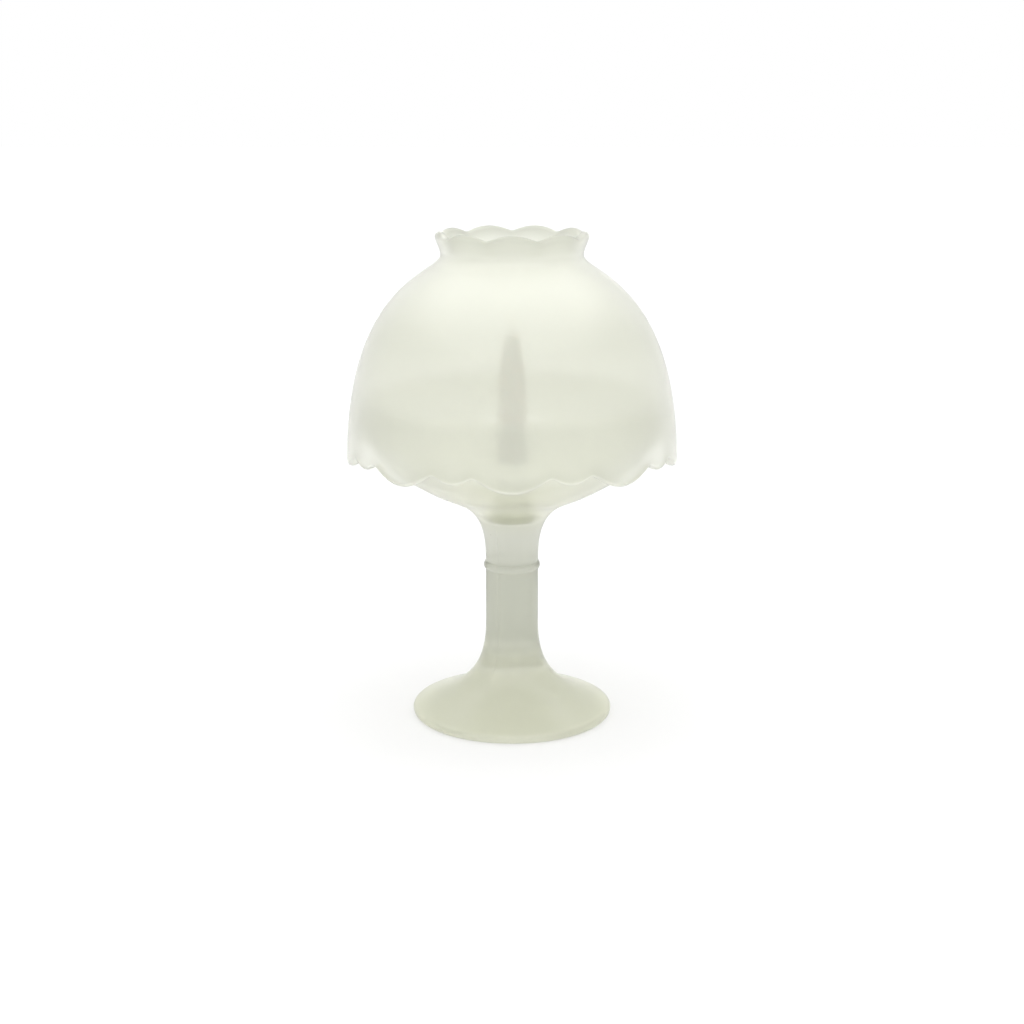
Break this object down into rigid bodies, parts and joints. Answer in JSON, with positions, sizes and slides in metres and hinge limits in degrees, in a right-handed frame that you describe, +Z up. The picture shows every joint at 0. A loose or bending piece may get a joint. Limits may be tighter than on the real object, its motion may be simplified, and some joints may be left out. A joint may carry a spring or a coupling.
{
  "type": "fairy lamp",
  "caption": "Satin glass fairy lamp: a goblet base with a beaded stem holds a candle cup and taper candle under a lift-off domed shade with scalloped skirt and collar.",
  "frame": {"origin": "centre of the ring that the foot stands on, on the table", "axes": "+Z up along the lamp's axis, -Y towards the viewer of the picture with a large lobe of the skirt centred on it, +X to the viewer's right"},
  "size_m": [0.104, 0.1041, 0.1554],
  "materials": {
    "satin_glass": "satin etched pressed glass, faintly yellow-green",
    "cup_glass": "fire-polished pressed glass",
    "wax": "satin candle wax",
    "cotton": "braided cotton wick"
  },
  "bodies": {
    "goblet": {"goblet": "satin_glass"},
    "shade": {"shade": "satin_glass"},
    "candle_cup": {"candle_cup": "cup_glass"},
    "candle": {"candle": "wax", "wick": "cotton"}
  },
  "joints": [
    {"name": "shade_lift", "type": "slide", "parent": "goblet", "child": "shade", "axis": [0, 0, 1], "range_m": [0, 0.06]},
    {"name": "cup_lift", "type": "slide", "parent": "goblet", "child": "candle_cup", "axis": [0, 0, 1], "range_m": [0, 0.1]},
    {"name": "candle_lift", "type": "slide", "parent": "candle_cup", "child": "candle", "axis": [0, 0, 1], "range_m": [0, 0.08]}
  ]
}
